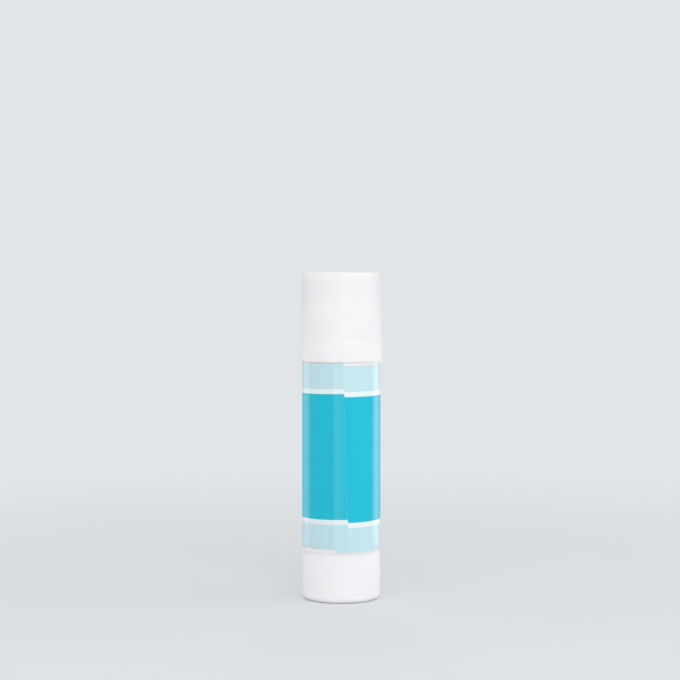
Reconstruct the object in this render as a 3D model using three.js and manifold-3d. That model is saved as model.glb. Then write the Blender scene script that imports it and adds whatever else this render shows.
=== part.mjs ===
// Twist-up glue stick, standing upright on its turning base.
// Millimetres, +Z up, origin at the centre of the base's underside.
// The label's seam faces -Y.
import * as THREE from 'three';
import { mergeVertices } from 'three/addons/utils/BufferGeometryUtils.js';
import Module from 'manifold-3d';

// Barrel
const boreRadius = 8.55; // bore that the glue runs in
const neckWall = 0.95;
const neckLength = 12.8;
const neckLead = 0.4;
const neckLeadWidth = 0.2;
const lipChamfer = 0.25;
const neckBeadBump = 0.12;
const neckBeadWidth = 1;
const neckBeadHeight = 3; // bead's centre above the shoulder
const shoulderWidth = 0.78;
const barrelBodyLength = 49.6; // lower end to shoulder
const barrelEdgeChamfer = 0.15;
const bulkheadThickness = 1.2;
const socketWall = 1.13; // round the knob's spigot
const ribCount = 4;
const ribHeight = 0.7;
const ribWidth = 1.2;
const ribStop = 1.6; // ribs end this far below the mouth

// Knob: the turning base
const knobInset = 0.03; // knob's side inside the barrel's
const knobHeight = 12.9;
const knobFootFillet = 1.5;
const knobFootWidth = 1.25; // flat ring that it stands on
const knobEdgeChamfer = 0.15;
const knobRecessDepth = 0.6;
const knobFloorThickness = 1.4;
const knobWebCount = 4;
const knobWebThickness = 1;
const knobWebHeight = 7;
const hubWall = 0.72;
const hubTopDrop = 0.9; // hub's top below the knob's top edge
const hubSocketLift = 1.4; // floor of the hub's socket above the knob's floor
const spigotWall = 0.95;
const spigotHeight = 3.5;
const spigotLead = 0.3;

// Snap joint between the knob's spigot and the barrel
const snapBite = 0.1; // how far the bead reaches past the socket's wall
const snapBeadWidth = 0.8;
const snapBeadHeight = 1.4; // bead's centre above the knob's top edge

// Spindle: lead screw with a left-hand thread, so that the base turned to the right raises the glue
const screwCoreRadius = 2.3;
const ridgeHeight = 0.8;
const ridgeRootWidth = 1.5;
const ridgeCrestWidth = 0.8;
const screwLead = 4;
const screwHand = -1;
const shankWidth = 4.2;
const collarOverlap = 1.5; // collar past the bulkhead's hole
const collarThickness = 1.2;
const threadStart = 0.8; // plain core above the collar
const tipLength = 1.5;
const tipRadius = 1.4;

// Carrier: cup that holds the glue's foot, with a threaded hub
const carrierFloorThickness = 1.2;
const cupHeight = 7.5;
const cupWall = 0.8;
const nutWall = 1.28;
const nutHeight = 8;
const nutHold = 4; // thread still in the nut at the top of the travel
const cupStopDepth = 4.1; // cup's rim below the mouth at the top of the travel

// Glue
const glueSetback = 1; // glue's top below the mouth when wound down
const glueEdgeChamfer = 0.5;
const glueCoverOverTip = 0.7;

// Cap
const capLength = 23.3;
const capWall = 0.95;
const capUpperInset = 0.2; // the upper part is narrower by this
const capCrownInset = 0.31; // and the crown tapers in by this to the top
const capCrownHeight = 2.4;
const capTopFillet = 0.4;
const capFlareTop = 5.5; // flare between the two widths, measured down from the cap's top
const capFlareBottom = 10.3;
const capRimBump = 0.18;
const capRimHeight = 5.6;
const capRimSlope = 1.6; // upper part of the rim, where it eases into the body
const capEdgeChamfer = 0.15;
const capTopThickness = 1.4;

// Label: a film wound once round the barrel, its end lapped over its start
const labelThickness = 0.1;
const labelGlueLine = 0.02;
const labelLapGap = 0.03;
const labelBottomMargin = 0.38; // lowest corner above the barrel's lower end
const labelTopMargin = 0.09; // highest edge below the shoulder, a full turn on
const labelStartAngle = -8; // degrees from the front, towards +X positive
const labelEndAngle = 6.6; // at half height, past the full turn
const labelRise = 0.83; // climb in one turn, from winding it slightly askew
const labelEndSlant = 0.82; // degrees that the end is cut off square
const labelStepUp = 12; // degrees over which the end lifts on to the start
const labelStepMargin = 1; // degrees between that and the start

// Clearances
const partingGap = 0.1; // knob to barrel, end to end
const spigotClearance = 0.2;
const snapClearance = 0.15;
const shankClearance = 0.15;
const shankEndGap = 0.3;
const holeClearance = 0.3;
const bulkheadClearance = 0.4;
const collarGap = 0.3;
const threadClearance = 0.22;
const ribClearance = 0.25;
const carrierClearance = 0.22;
const carrierGap = 0.3; // carrier above the collar when wound down
const cupRibClearance = 0.35;
const glueBoreClearance = 0.25;
const glueScrewClearance = 0.3;
const glueSeatClearance = 0.15;
const capClearance = 0.2;
const capSeatGap = 0.1;

// Fineness of the faceted surfaces
const roundSegments = 48;
const screwSegments = 20;
const filletSteps = 4;
const labelStations = 64;
const labelRows = 3;
const cutOverrun = 1; // how far a cutting solid runs past what it cuts

const degree = Math.PI / 180;

// Radii, each from the piece that it fits
const neckRadius = boreRadius + neckWall;
const barrelRadius = neckRadius + shoulderWidth;
const knobRadius = barrelRadius - knobInset;
const socketRadius = barrelRadius - socketWall;
const spigotRadius = socketRadius - spigotClearance;
const snapBeadRadius = socketRadius + snapBite;
const snapGrooveRadius = snapBeadRadius + snapClearance;
const knobCavityRadius = spigotRadius - spigotWall;
const knobRecessRadius = knobRadius - knobFootFillet - knobFootWidth;
const hubSocketWidth = shankWidth + 2 * shankClearance;
const hubRadius = hubSocketWidth / Math.SQRT2 + hubWall;
const bulkheadHoleRadius = shankWidth / Math.SQRT2 + holeClearance;
const collarRadius = bulkheadHoleRadius + collarOverlap;
const screwCrestRadius = screwCoreRadius + ridgeHeight;
const nutBoreRadius = screwCoreRadius + threadClearance;
const nutRadius = screwCrestRadius + threadClearance + nutWall;
const ribInnerRadius = boreRadius - ribHeight;
const notchRadius = ribInnerRadius - ribClearance;
const cupRadius = ribInnerRadius - cupRibClearance;
const cupInnerRadius = cupRadius - cupWall;
const carrierRadius = boreRadius - carrierClearance;
const glueRadius = boreRadius - glueBoreClearance;
const glueHoleRadius = screwCrestRadius + glueScrewClearance;
const capBoreRadius = neckRadius + capClearance;
const capRadius = capBoreRadius + capWall;
const capUpperRadius = capRadius - capUpperInset;
const capCrownRadius = capUpperRadius - capCrownInset;
const capRimRadius = capRadius + capRimBump;
const labelRadius = barrelRadius + labelGlueLine;

// Levels up the axis, each from the piece that sets it
const knobFloorTop = knobRecessDepth + knobFloorThickness;
const hubSocketFloor = knobFloorTop + hubSocketLift;
const hubTop = knobHeight - hubTopDrop;
const barrelBottom = knobHeight + partingGap;
const spigotTop = knobHeight + spigotHeight;
const snapLevel = knobHeight + snapBeadHeight;
const bulkheadBottom = spigotTop + bulkheadClearance;
const bulkheadTop = bulkheadBottom + bulkheadThickness;
const collarBottom = bulkheadTop + collarGap;
const collarTop = collarBottom + collarThickness;
const carrierBottom = collarTop + carrierGap;
const carrierFloorTop = carrierBottom + carrierFloorThickness;
const cupTop = carrierBottom + cupHeight;
const nutTop = carrierBottom + nutHeight;
const shoulderLevel = barrelBottom + barrelBodyLength;
const mouthLevel = shoulderLevel + neckLength;
const glueTop = mouthLevel - glueSetback;
const liftTravel = mouthLevel - cupStopDepth - cupTop;
const threadTop = carrierBottom + liftTravel + nutHold;
const spindleTop = threadTop + tipLength;
const capBottom = shoulderLevel + capSeatGap;
const capTop = capBottom + capLength;
const labelBottom = barrelBottom + labelBottomMargin;
const labelHeight = shoulderLevel - labelTopMargin - labelRise - labelBottom;

const wasm = await Module();
wasm.setup();

// Closed three.js geometry to a solid: shared corners merged, empty triangles at the axis dropped
function toSolid(geometry) {
  const bare = geometry.clone();
  bare.deleteAttribute('normal');
  bare.deleteAttribute('uv');
  const merged = mergeVertices(bare);
  const corners = merged.index.array;
  const kept = [];
  for (let i = 0; i < corners.length; i += 3) {
    const [a, b, c] = corners.slice(i, i + 3);
    if (a !== b && b !== c && c !== a) {
      kept.push(a, b, c);
    }
  }
  return new wasm.Manifold(new wasm.Mesh({
    numProp: 3,
    vertProperties: Float32Array.from(merged.attributes.position.array),
    triVerts: Uint32Array.from(kept),
  }));
}

function toGeometry(solid) {
  const mesh = solid.getMesh();
  const geometry = new THREE.BufferGeometry();
  geometry.setAttribute('position', new THREE.BufferAttribute(mesh.vertProperties, 3));
  geometry.setIndex(new THREE.BufferAttribute(mesh.triVerts, 1));
  geometry.computeVertexNormals();
  return geometry;
}

// Turned solid from an outline of [radius, height] points, listed outwards, up and back in
function turned(outline, segments = roundSegments) {
  const points = outline.map(([radius, height]) => new THREE.Vector2(radius, height));
  const geometry = new THREE.LatheGeometry(points, segments);
  geometry.rotateX(Math.PI / 2);
  return toSolid(geometry);
}

// Arc of an outline about [radius, height], from one angle to another in degrees
function arc(radius, height, size, fromAngle, toAngle) {
  const points = [];
  for (let i = 0; i <= filletSteps; i += 1) {
    const angle = (fromAngle + (toAngle - fromAngle) * i / filletSteps) * degree;
    points.push([radius + size * Math.cos(angle), height + size * Math.sin(angle)]);
  }
  return points;
}

// Smooth stretch of an outline between two [radius, height] points, upright at both ends
function easedStretch(from, to) {
  const points = [];
  for (let i = 0; i <= filletSteps; i += 1) {
    const share = i / filletSteps;
    const eased = share * share * (3 - 2 * share);
    points.push([from[0] + (to[0] - from[0]) * eased, from[1] + (to[1] - from[1]) * share]);
  }
  return points;
}

// Upright block centred on the axis
function block(width, depth, bottom, top) {
  const geometry = new THREE.BoxGeometry(width, depth, top - bottom);
  geometry.translate(0, 0, (bottom + top) / 2);
  return geometry;
}

// Upright slab from one radius to another, facing a direction round the axis
function radialSlab(innerRadius, outerRadius, width, bottom, top, angle) {
  const geometry = block(outerRadius - innerRadius, width, bottom, top);
  geometry.translate((innerRadius + outerRadius) / 2, 0, 0);
  geometry.rotateZ(angle);
  return toSolid(geometry);
}

// Helical ridge of trapezoid section, grown all round by a clearance.
// Its stations lie half a step round from the corners of the round core that it stands on,
// and every ridge has them at the same heights, so that a screw and its nut mesh.
function threadRidge(bottom, top, clearance) {
  const rootRadius = screwCoreRadius - clearance - ridgeCrestWidth / 2;
  const crestRadius = screwCrestRadius + clearance;
  const rootHalf = ridgeRootWidth / 2 + clearance;
  const crestHalf = ridgeCrestWidth / 2 + clearance;
  const section = [
    [rootRadius, -rootHalf],
    [crestRadius, -crestHalf],
    [crestRadius, crestHalf],
    [rootRadius, rootHalf],
  ];
  const firstStation = Math.ceil(bottom / screwLead * screwSegments);
  const steps = Math.floor(top / screwLead * screwSegments) - firstStation;
  const positions = [];
  const triangles = [];
  for (let i = 0; i <= steps; i += 1) {
    const turns = (firstStation + i) / screwSegments;
    const height = turns * screwLead;
    const angle = (screwHand * turns + 0.5 / screwSegments) * 2 * Math.PI;
    for (const [radius, offset] of section) {
      positions.push(radius * Math.cos(angle), radius * Math.sin(angle), height + offset);
    }
  }
  const sides = section.length;
  for (let i = 0; i < steps; i += 1) {
    for (let j = 0; j < sides; j += 1) {
      const a = i * sides + j;
      const b = i * sides + (j + 1) % sides;
      triangles.push(a, a + sides, b, b, a + sides, b + sides);
    }
  }
  const last = steps * sides;
  triangles.push(0, 1, 2, 0, 2, 3);
  triangles.push(last, last + 2, last + 1, last, last + 3, last + 2);
  if (screwHand < 0) {
    triangles.reverse();
  }
  const geometry = new THREE.BufferGeometry();
  geometry.setAttribute('position', new THREE.Float32BufferAttribute(positions, 3));
  geometry.setIndex(triangles);
  return toSolid(geometry);
}

function makeKnob() {
  const beadHalf = snapBeadWidth / 2;
  let knob = turned([
    [0, knobRecessDepth],
    [knobRecessRadius - knobRecessDepth, knobRecessDepth],
    [knobRecessRadius, 0],
    ...arc(knobRadius - knobFootFillet, knobFootFillet, knobFootFillet, -90, 0),
    [knobRadius, knobHeight - knobEdgeChamfer],
    [knobRadius - knobEdgeChamfer, knobHeight],
    [spigotRadius, knobHeight],
    [spigotRadius, snapLevel - beadHalf],
    [snapBeadRadius, snapLevel],
    [spigotRadius, snapLevel + beadHalf],
    [spigotRadius, spigotTop - spigotLead],
    [spigotRadius - spigotLead, spigotTop],
    [knobCavityRadius, spigotTop],
    [knobCavityRadius, knobFloorTop],
    [hubRadius, knobFloorTop],
    [hubRadius, hubTop],
    [0, hubTop],
  ]);
  const webInner = hubRadius / 2;
  const webOuter = knobCavityRadius + spigotWall / 2;
  for (let i = 0; i < knobWebCount; i += 1) {
    const angle = (i + 0.5) / knobWebCount * 2 * Math.PI;
    const webTop = knobFloorTop + knobWebHeight;
    const webBottom = knobFloorTop - knobFloorThickness / 2;
    knob = knob.add(radialSlab(webInner, webOuter, knobWebThickness, webBottom, webTop, angle));
  }
  const socket = block(hubSocketWidth, hubSocketWidth, hubSocketFloor, hubTop + cutOverrun);
  return knob.subtract(toSolid(socket));
}

function makeBarrel() {
  const grooveHalf = snapBeadWidth / 2 + snapClearance;
  const beadLevel = shoulderLevel + neckBeadHeight;
  const beadHalf = neckBeadWidth / 2;
  let barrel = turned([
    [socketRadius, barrelBottom],
    [barrelRadius - barrelEdgeChamfer, barrelBottom],
    [barrelRadius, barrelBottom + barrelEdgeChamfer],
    [barrelRadius, shoulderLevel - barrelEdgeChamfer],
    [barrelRadius - barrelEdgeChamfer, shoulderLevel],
    [neckRadius, shoulderLevel],
    [neckRadius, beadLevel - beadHalf],
    [neckRadius + neckBeadBump, beadLevel],
    [neckRadius, beadLevel + beadHalf],
    [neckRadius, mouthLevel - neckLead],
    [neckRadius - neckLeadWidth, mouthLevel],
    [boreRadius + lipChamfer, mouthLevel],
    [boreRadius, mouthLevel - lipChamfer],
    [boreRadius, bulkheadTop],
    [bulkheadHoleRadius, bulkheadTop],
    [bulkheadHoleRadius, bulkheadBottom],
    [socketRadius, bulkheadBottom],
    [socketRadius, snapLevel + grooveHalf],
    [snapGrooveRadius, snapLevel],
    [socketRadius, snapLevel - grooveHalf],
    [socketRadius, barrelBottom],
  ]);
  const ribOuter = (boreRadius + neckRadius) / 2;
  for (let i = 0; i < ribCount; i += 1) {
    const angle = i / ribCount * 2 * Math.PI;
    const ribBottom = bulkheadTop - bulkheadThickness / 2;
    const ribTop = mouthLevel - ribStop;
    barrel = barrel.add(radialSlab(ribInnerRadius, ribOuter, ribWidth, ribBottom, ribTop, angle));
  }
  return barrel;
}

function makeSpindle() {
  const core = turned([
    [0, collarBottom],
    [collarRadius, collarBottom],
    [collarRadius, collarTop],
    [screwCoreRadius, collarTop],
    [screwCoreRadius, threadTop],
    [tipRadius, spindleTop],
    [0, spindleTop],
  ], screwSegments);
  const shankBottom = hubSocketFloor + shankEndGap;
  const shank = toSolid(block(shankWidth, shankWidth, shankBottom, collarTop - collarThickness / 2));
  const ridgeHalf = ridgeRootWidth / 2;
  const ridge = threadRidge(collarTop + threadStart + ridgeHalf, threadTop - ridgeHalf, 0);
  return core.add(shank).add(ridge);
}

// Notches that let a solid of the moving carriage pass the barrel's ribs
function cutRibNotches(solid, bottom, top) {
  const outer = boreRadius + cutOverrun;
  const width = ribWidth + 2 * ribClearance;
  let notched = solid;
  for (let i = 0; i < ribCount; i += 1) {
    const angle = i / ribCount * 2 * Math.PI;
    const notch = radialSlab(notchRadius, outer, width, bottom - cutOverrun, top + cutOverrun, angle);
    notched = notched.subtract(notch);
  }
  return notched;
}

function makeCarrier() {
  const blank = turned([
    [nutBoreRadius, carrierBottom],
    [carrierRadius, carrierBottom],
    [carrierRadius, carrierFloorTop],
    [cupRadius, carrierFloorTop],
    [cupRadius, cupTop],
    [cupInnerRadius, cupTop],
    [cupInnerRadius, carrierFloorTop],
    [nutRadius, carrierFloorTop],
    [nutRadius, nutTop],
    [nutBoreRadius, nutTop],
    [nutBoreRadius, carrierBottom],
  ]);
  const notched = cutRibNotches(blank, carrierBottom, carrierFloorTop);
  return notched.subtract(threadRidge(carrierBottom - screwLead, nutTop + screwLead, threadClearance));
}

function makeGlue() {
  const footRadius = cupInnerRadius - glueSeatClearance;
  const footBottom = carrierFloorTop + glueSeatClearance;
  const rimLevel = cupTop + glueSeatClearance;
  const nutPocketRadius = nutRadius + glueSeatClearance;
  const nutPocketTop = nutTop + glueSeatClearance;
  const holeTop = spindleTop + glueCoverOverTip;
  const blank = turned([
    [nutPocketRadius, footBottom],
    [footRadius, footBottom],
    [footRadius, rimLevel],
    [glueRadius, rimLevel],
    [glueRadius, glueTop - glueEdgeChamfer],
    [glueRadius - glueEdgeChamfer, glueTop],
    [0, glueTop],
    [0, holeTop],
    [glueHoleRadius, holeTop],
    [glueHoleRadius, nutPocketTop],
    [nutPocketRadius, nutPocketTop],
    [nutPocketRadius, footBottom],
  ]);
  return cutRibNotches(blank, rimLevel, glueTop);
}

function makeCap() {
  const ceiling = capTop - capTopThickness;
  const rimTop = capBottom + capRimHeight;
  const crownSlope = Math.atan2(capCrownInset, capCrownHeight) / degree;
  return turned([
    [capBoreRadius + capEdgeChamfer, capBottom],
    [capRimRadius - capEdgeChamfer, capBottom],
    [capRimRadius, capBottom + capEdgeChamfer],
    ...easedStretch([capRimRadius, rimTop - capRimSlope], [capRadius, rimTop]),
    ...easedStretch([capRadius, capTop - capFlareBottom], [capUpperRadius, capTop - capFlareTop]),
    [capUpperRadius, capTop - capCrownHeight],
    ...arc(capCrownRadius - capTopFillet, capTop - capTopFillet, capTopFillet, crownSlope, 90),
    [0, capTop],
    [0, ceiling],
    [capBoreRadius - capTopFillet, ceiling],
    [capBoreRadius, ceiling - capTopFillet],
    [capBoreRadius, capBottom + capEdgeChamfer],
    [capBoreRadius + capEdgeChamfer, capBottom],
  ]);
}

// The film as a strip with four corners at each station and row.
// Along the strip the height climbs evenly, and near its end the radius steps up by one film and the lap gap.
function makeLabel() {
  const lapHeight = labelThickness + labelLapGap;
  const skew = labelRise / (2 * Math.PI * labelRadius);
  const endAngle = 360 + labelEndAngle;
  const stepEnd = 360 + labelStartAngle - labelStepMargin;
  const stepStart = stepEnd - labelStepUp;
  const positions = [];
  const triangles = [];
  for (let i = 0; i <= labelStations; i += 1) {
    const share = i / labelStations;
    for (let j = 0; j <= labelRows; j += 1) {
      const up = labelHeight * j / labelRows;
      const lean = (labelHeight / 2 - up) / labelRadius;
      const from = labelStartAngle * degree;
      const to = endAngle * degree + lean * (skew + Math.tan(labelEndSlant * degree));
      const angle = from + (to - from) * share;
      const rise = (angle / degree - labelStartAngle) / 360 * labelRise;
      const stepShare = (angle / degree - stepStart) / (stepEnd - stepStart);
      const eased = THREE.MathUtils.smoothstep(stepShare, 0, 1);
      const inner = labelRadius + lapHeight * eased;
      for (const radius of [inner, inner + labelThickness]) {
        positions.push(radius * Math.sin(angle), -radius * Math.cos(angle), labelBottom + up + rise);
      }
    }
  }
  const column = 2 * (labelRows + 1);
  const corner = (station, row, side) => station * column + row * 2 + side;
  const quad = (a, b, c, d) => triangles.push(a, b, c, a, c, d);
  for (let i = 0; i < labelStations; i += 1) {
    for (let j = 0; j < labelRows; j += 1) {
      quad(corner(i, j, 1), corner(i + 1, j, 1), corner(i + 1, j + 1, 1), corner(i, j + 1, 1));
      quad(corner(i, j, 0), corner(i, j + 1, 0), corner(i + 1, j + 1, 0), corner(i + 1, j, 0));
    }
    quad(corner(i, 0, 0), corner(i + 1, 0, 0), corner(i + 1, 0, 1), corner(i, 0, 1));
    quad(
      corner(i, labelRows, 1),
      corner(i + 1, labelRows, 1),
      corner(i + 1, labelRows, 0),
      corner(i, labelRows, 0),
    );
  }
  for (let j = 0; j < labelRows; j += 1) {
    quad(corner(0, j, 0), corner(0, j, 1), corner(0, j + 1, 1), corner(0, j + 1, 0));
    const end = labelStations;
    quad(corner(end, j, 0), corner(end, j + 1, 0), corner(end, j + 1, 1), corner(end, j, 1));
  }
  const geometry = new THREE.BufferGeometry();
  geometry.setAttribute('position', new THREE.Float32BufferAttribute(positions, 3));
  geometry.setIndex(triangles);
  return toSolid(geometry);
}

const whitePlastic = new THREE.MeshStandardMaterial({ color: 0xf0eff2, roughness: 0.42, metalness: 0 });
const innerPlastic = new THREE.MeshStandardMaterial({ color: 0xe9e8ea, roughness: 0.5, metalness: 0 });
const labelFilm = new THREE.MeshStandardMaterial({ color: 0x30bed3, roughness: 0.3, metalness: 0 });
const paleGlue = new THREE.MeshStandardMaterial({ color: 0xf3f1ea, roughness: 0.55, metalness: 0 });

const glueStick = new THREE.Group();

function addPiece(name, solid, material) {
  const mesh = new THREE.Mesh(toGeometry(solid), material);
  mesh.name = name;
  glueStick.add(mesh);
}

addPiece('knob', makeKnob(), whitePlastic);
addPiece('barrel', makeBarrel(), whitePlastic);
addPiece('label', makeLabel(), labelFilm);
addPiece('spindle', makeSpindle(), innerPlastic);
addPiece('carrier', makeCarrier(), innerPlastic);
addPiece('glue', makeGlue(), paleGlue);
addPiece('cap', makeCap(), whitePlastic);

export default glueStick;
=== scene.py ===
import math

import bpy
import numpy as np
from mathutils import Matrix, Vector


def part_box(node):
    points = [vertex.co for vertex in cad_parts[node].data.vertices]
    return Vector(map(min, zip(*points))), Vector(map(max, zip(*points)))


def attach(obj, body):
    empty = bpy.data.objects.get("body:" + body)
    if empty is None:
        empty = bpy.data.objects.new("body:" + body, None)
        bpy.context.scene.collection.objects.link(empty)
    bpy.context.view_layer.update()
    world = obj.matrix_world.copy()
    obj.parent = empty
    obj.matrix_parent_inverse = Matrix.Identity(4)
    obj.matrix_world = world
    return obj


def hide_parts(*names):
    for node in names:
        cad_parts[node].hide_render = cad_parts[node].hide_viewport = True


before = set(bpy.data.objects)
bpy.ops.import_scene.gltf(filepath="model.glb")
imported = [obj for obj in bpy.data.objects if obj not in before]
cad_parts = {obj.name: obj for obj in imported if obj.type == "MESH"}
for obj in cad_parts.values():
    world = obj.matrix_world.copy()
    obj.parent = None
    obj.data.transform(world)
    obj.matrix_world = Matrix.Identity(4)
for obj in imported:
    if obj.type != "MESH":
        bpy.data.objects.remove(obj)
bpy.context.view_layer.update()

# Glue stick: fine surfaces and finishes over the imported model.
# Shapes are written in millimetres and become metres in addPiece.
mm = 0.001
sharpAngle = 38  # degrees: a sharper edge between two faces isn't smoothed over


def boxOf(node):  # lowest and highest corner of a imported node, in millimetres
    low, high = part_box(node)
    return np.array(low) / mm, np.array(high) / mm


# Surfaces

# Outline through corners of (radius, height, rounding). A rounding is an arc that touches both
# stretches beside its corner. One more point on each side of it keeps those stretches flat.
def roundedOutline(corners, closed=False, steps=6, hold=0.03):
    places = np.array([corner[:2] for corner in corners], float)
    share = np.linspace(0, 1, steps + 1)[:, None]
    outline = []
    for i, (here, corner) in enumerate(zip(places, corners)):
        size = corner[2] if len(corner) > 2 else 0
        if size == 0 or (not closed and i in (0, len(corners) - 1)):
            outline.append(here[None])
            continue
        back = places[i - 1] - here
        ahead = places[(i + 1) % len(places)] - here
        back /= np.linalg.norm(back)
        ahead /= np.linalg.norm(ahead)
        half = math.acos(np.clip(back @ ahead, -1, 1)) / 2
        start = here + back * size / math.tan(half)
        stop = here + ahead * size / math.tan(half)
        middle = here + (back + ahead) / np.linalg.norm(back + ahead) * size / math.sin(half)
        sweep = math.pi - 2 * half
        bend = np.sin((1 - share) * sweep) * (start - middle) + np.sin(share * sweep) * (stop - middle)
        arc = middle + bend / math.sin(sweep)
        outline.append(np.vstack([start + back * hold, arc, stop + ahead * hold]))
    return np.vstack(outline)


# The same outline with every stretch longer than a step cut into equal steps
def refined(outline, step, closed=False):
    ends = np.roll(outline, -1, axis=0)
    pieces = []
    for start, end in zip(outline, ends) if closed else zip(outline[:-1], ends[:-1]):
        count = max(1, math.ceil(np.linalg.norm(end - start) / step))
        pieces.append(start + (end - start) * (np.arange(count) / count)[:, None])
    return np.vstack(pieces) if closed else np.vstack([*pieces, outline[-1:]])


def smoothed(share):  # a share that leaves 0 and reaches 1 without a kink
    return share * share * (3 - 2 * share)


# Smooth stretch of an outline between two radii, upright at both ends
def easedStretch(fromRadius, toRadius, fromHeight, toHeight, steps=24):
    share = np.linspace(0, 1, steps + 1)
    radius = fromRadius + (toRadius - fromRadius) * smoothed(share)
    return np.stack([radius, fromHeight + (toHeight - fromHeight) * share], axis=1)


# 1 inside a stretch either side of each centre round the axis and 0 outside it, with a short ramp
def windows(angles, centres, halfWidth, ramp):
    away = np.abs((angles[:, None] - np.array(centres)[None] + math.pi) % (2 * math.pi) - math.pi)
    return smoothed(np.clip((halfWidth + ramp - away) / ramp, 0, 1)).max(axis=1)


# Even angles round the axis, with more of them where a window's ramps are, and no two that nearly meet
def roundAngles(count, centres=(), halfWidth=0.0, ramp=0.0, rampSteps=4, least=0.001):
    angles = [np.arange(count) / count * 2 * math.pi]
    for centre in centres:
        for side in (-1, 1):
            angles.append(centre + side * (halfWidth + ramp * np.linspace(0, 1, rampSteps + 1)))
    angles = np.sort(np.concatenate(angles) % (2 * math.pi))
    return angles[np.diff(angles, append=angles[0] + 2 * math.pi) > least]


# Radii drawn in to an inner radius inside the windows. A little of what stood proud is left, so
# that rows which differ only in their radius don't fall on one another.
def drawnIn(radius, inner, share, left=0.02):
    return radius - (1 - left) * np.maximum(radius - inner, 0) * share


noTriangles = np.zeros((0, 3), int)


def facesOf(*corners):  # faces from tables of point numbers, one table for each corner
    return np.stack(corners, axis=-1).reshape(-1, len(corners))


# Faces of a grid of points whose rows are closed rings: a wall between the rows, and at each end
# a fan about one more point
def tubeFaces(rows, columns):
    index = np.arange(rows * columns).reshape(rows, columns)
    beside = np.roll(index, -1, axis=1)
    middle = np.full(columns, index.size)
    wall = facesOf(index[:-1], beside[:-1], beside[1:], index[1:])
    low = facesOf(middle, beside[0], index[0])
    high = facesOf(middle + 1, index[-1], beside[-1])
    return wall, np.vstack([low, high])


# Surface turned about the upright axis: radius and height are tables of outline row by angle.
# An open outline starts and ends on the axis, where each end row closes to one point.
def turnedPart(radius, height, angles, closed=False):
    points = np.stack([radius * np.cos(angles), radius * np.sin(angles), height], axis=2)
    if not closed:
        poles = np.array([[0, 0, height[0, 0]], [0, 0, height[-1, 0]]])
        points = np.vstack([points[1:-1].reshape(-1, 3), poles])
        return points, *tubeFaces(len(radius) - 2, len(angles))
    index = np.arange(radius.size).reshape(radius.shape)
    beside = np.roll(index, -1, axis=1)
    above = np.roll(index, -1, axis=0)
    aboveBeside = np.roll(beside, -1, axis=0)
    return points.reshape(-1, 3), facesOf(index, beside, aboveBeside, above), noTriangles


# The tables that turnedPart takes, from an outline that is the same at every angle
def outlineTables(outline, angles):
    radius = np.repeat(outline[:, :1], len(angles), axis=1)
    height = np.repeat(outline[:, 1:], len(angles), axis=1)
    return radius, height


# Closed section carried along a path: a table of station by section corner by place,
# with both ends closed by a fan about their middles
def carriedPart(rings):
    middles = np.stack([rings[0].mean(axis=0), rings[-1].mean(axis=0)])
    points = np.vstack([rings.reshape(-1, 3), middles])
    return points, *tubeFaces(*rings.shape[:2])


# The radius table with some of its rows made a square with slightly rounded corners: the sum of
# the high powers of a place's two sides is the same all the way round
def squaredRows(radius, angles, square, sharpness=14):
    sides = np.abs(np.cos(angles)) ** sharpness + np.abs(np.sin(angles)) ** sharpness
    return radius * np.where(square[:, None], sides ** (-1 / sharpness), 1)


# One piece from its parts: placed on its body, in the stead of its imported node
def addPiece(name, node, body, material, parts, places=None):
    points, quads, triangles, count = [], [], [], 0
    for partPoints, partQuads, partTriangles in parts:
        points.append(partPoints)
        quads.append(partQuads + count)
        triangles.append(partTriangles + count)
        count += len(partPoints)
    quads = np.vstack(quads)
    triangles = np.vstack(triangles)
    corners = np.concatenate([quads.ravel(), triangles.ravel()]).astype(np.int32)
    starts = np.concatenate([np.arange(len(quads)) * 4, len(quads) * 4 + np.arange(len(triangles)) * 3])
    mesh = bpy.data.meshes.new(name)
    mesh.vertices.add(count)
    mesh.vertices.foreach_set("co", (np.vstack(points) * mm).astype(np.float32).ravel())
    mesh.loops.add(len(corners))
    mesh.loops.foreach_set("vertex_index", corners)
    mesh.polygons.add(len(starts))
    mesh.polygons.foreach_set("loop_start", starts.astype(np.int32))
    mesh.polygons.foreach_set("use_smooth", np.ones(len(starts), bool))
    mesh.update(calc_edges=True)
    if places is not None:  # place of each point on the unrolled film, for its print
        layer = mesh.uv_layers.new(name="film")
        layer.uv.foreach_set("vector", places[corners].astype(np.float32).ravel())
    mesh.set_sharp_from_angle(angle=math.radians(sharpAngle))
    piece = bpy.data.objects.new(name, mesh)
    bpy.context.scene.collection.objects.link(piece)
    mesh.materials.append(material)
    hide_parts(node)
    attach(piece, body)
    print(f"{name}: {len(quads) * 2 + len(triangles)} triangles")


# Finishes

# Node with its settings, and its inputs by name or number. An input that is a socket is linked.
def addNode(tree, kind, inputs=(), **settings):
    node = tree.nodes.new("ShaderNode" + kind)
    for key, value in settings.items():
        setattr(node, key, value)
    for key, value in dict(inputs).items():
        if isinstance(value, bpy.types.NodeSocket):
            tree.links.new(value, node.inputs[key])
        else:
            node.inputs[key].default_value = value
    return node


def newMaterial(name, skin):  # skin: the even values, which sit on the shader's own inputs
    material = bpy.data.materials.new(name)
    material.use_nodes = True
    tree = material.node_tree
    tree.nodes.clear()
    shader = addNode(tree, "BsdfPrincipled", skin)
    addNode(tree, "OutputMaterial", {"Surface": shader.outputs["BSDF"]})
    return material, tree, shader


def ownPlace(tree, stretch=(1, 1, 1)):  # the piece's own coordinates, squeezed or stretched
    place = addNode(tree, "TexCoord").outputs["Object"]
    return addNode(tree, "Mapping", {"Vector": place, "Scale": stretch}).outputs["Vector"]


def noiseOf(tree, place, size, detail=2.0):  # size of the noise's features in millimetres
    noise = addNode(tree, "TexNoise", {"Vector": place, "Scale": 1 / (size * mm), "Detail": detail})
    return noise.outputs["Fac"]


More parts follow.
